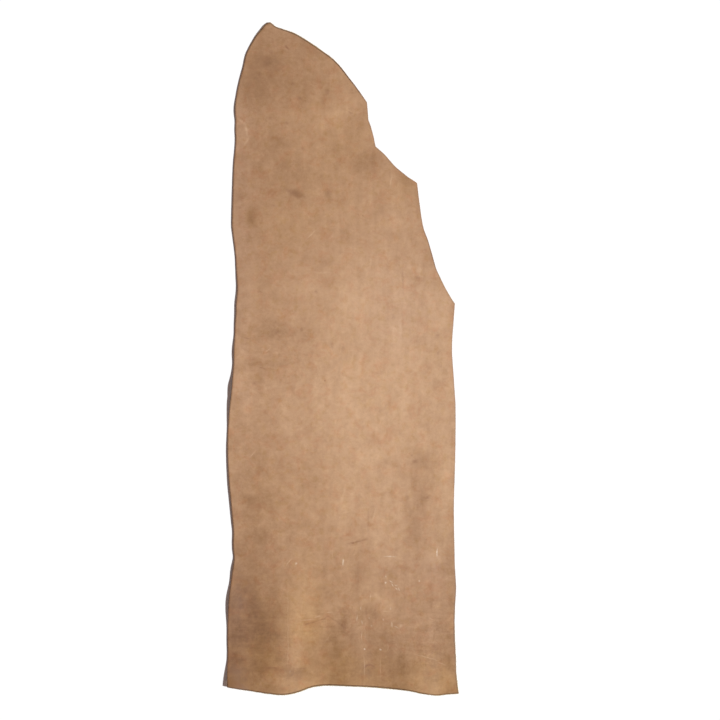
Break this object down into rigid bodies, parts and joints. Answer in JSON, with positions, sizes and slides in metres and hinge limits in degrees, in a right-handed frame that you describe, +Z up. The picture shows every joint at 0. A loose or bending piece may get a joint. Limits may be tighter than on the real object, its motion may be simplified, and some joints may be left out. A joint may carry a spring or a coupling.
{
  "type": "leather shoulder hide",
  "caption": "Flat trimmed piece of natural tan leather hide, long with a tapered tip, straight cut foot and gently lifted wavy edges.",
  "frame": {"origin": "on the plane the hide lies on, under the middle of its bounding box", "axes": "+Y along the hide from the straight cut foot to the narrow tip, +X across it towards the side with the notched corners, +Z up through the grain side"},
  "size_m": [0.4688, 1.365, 0.0116],
  "materials": {
    "grain_leather": "natural vegetable-tanned grain, matte to satin, cloudy tan"
  },
  "bodies": {
    "root": {"hide": "grain_leather"}
  },
  "joints": []
}
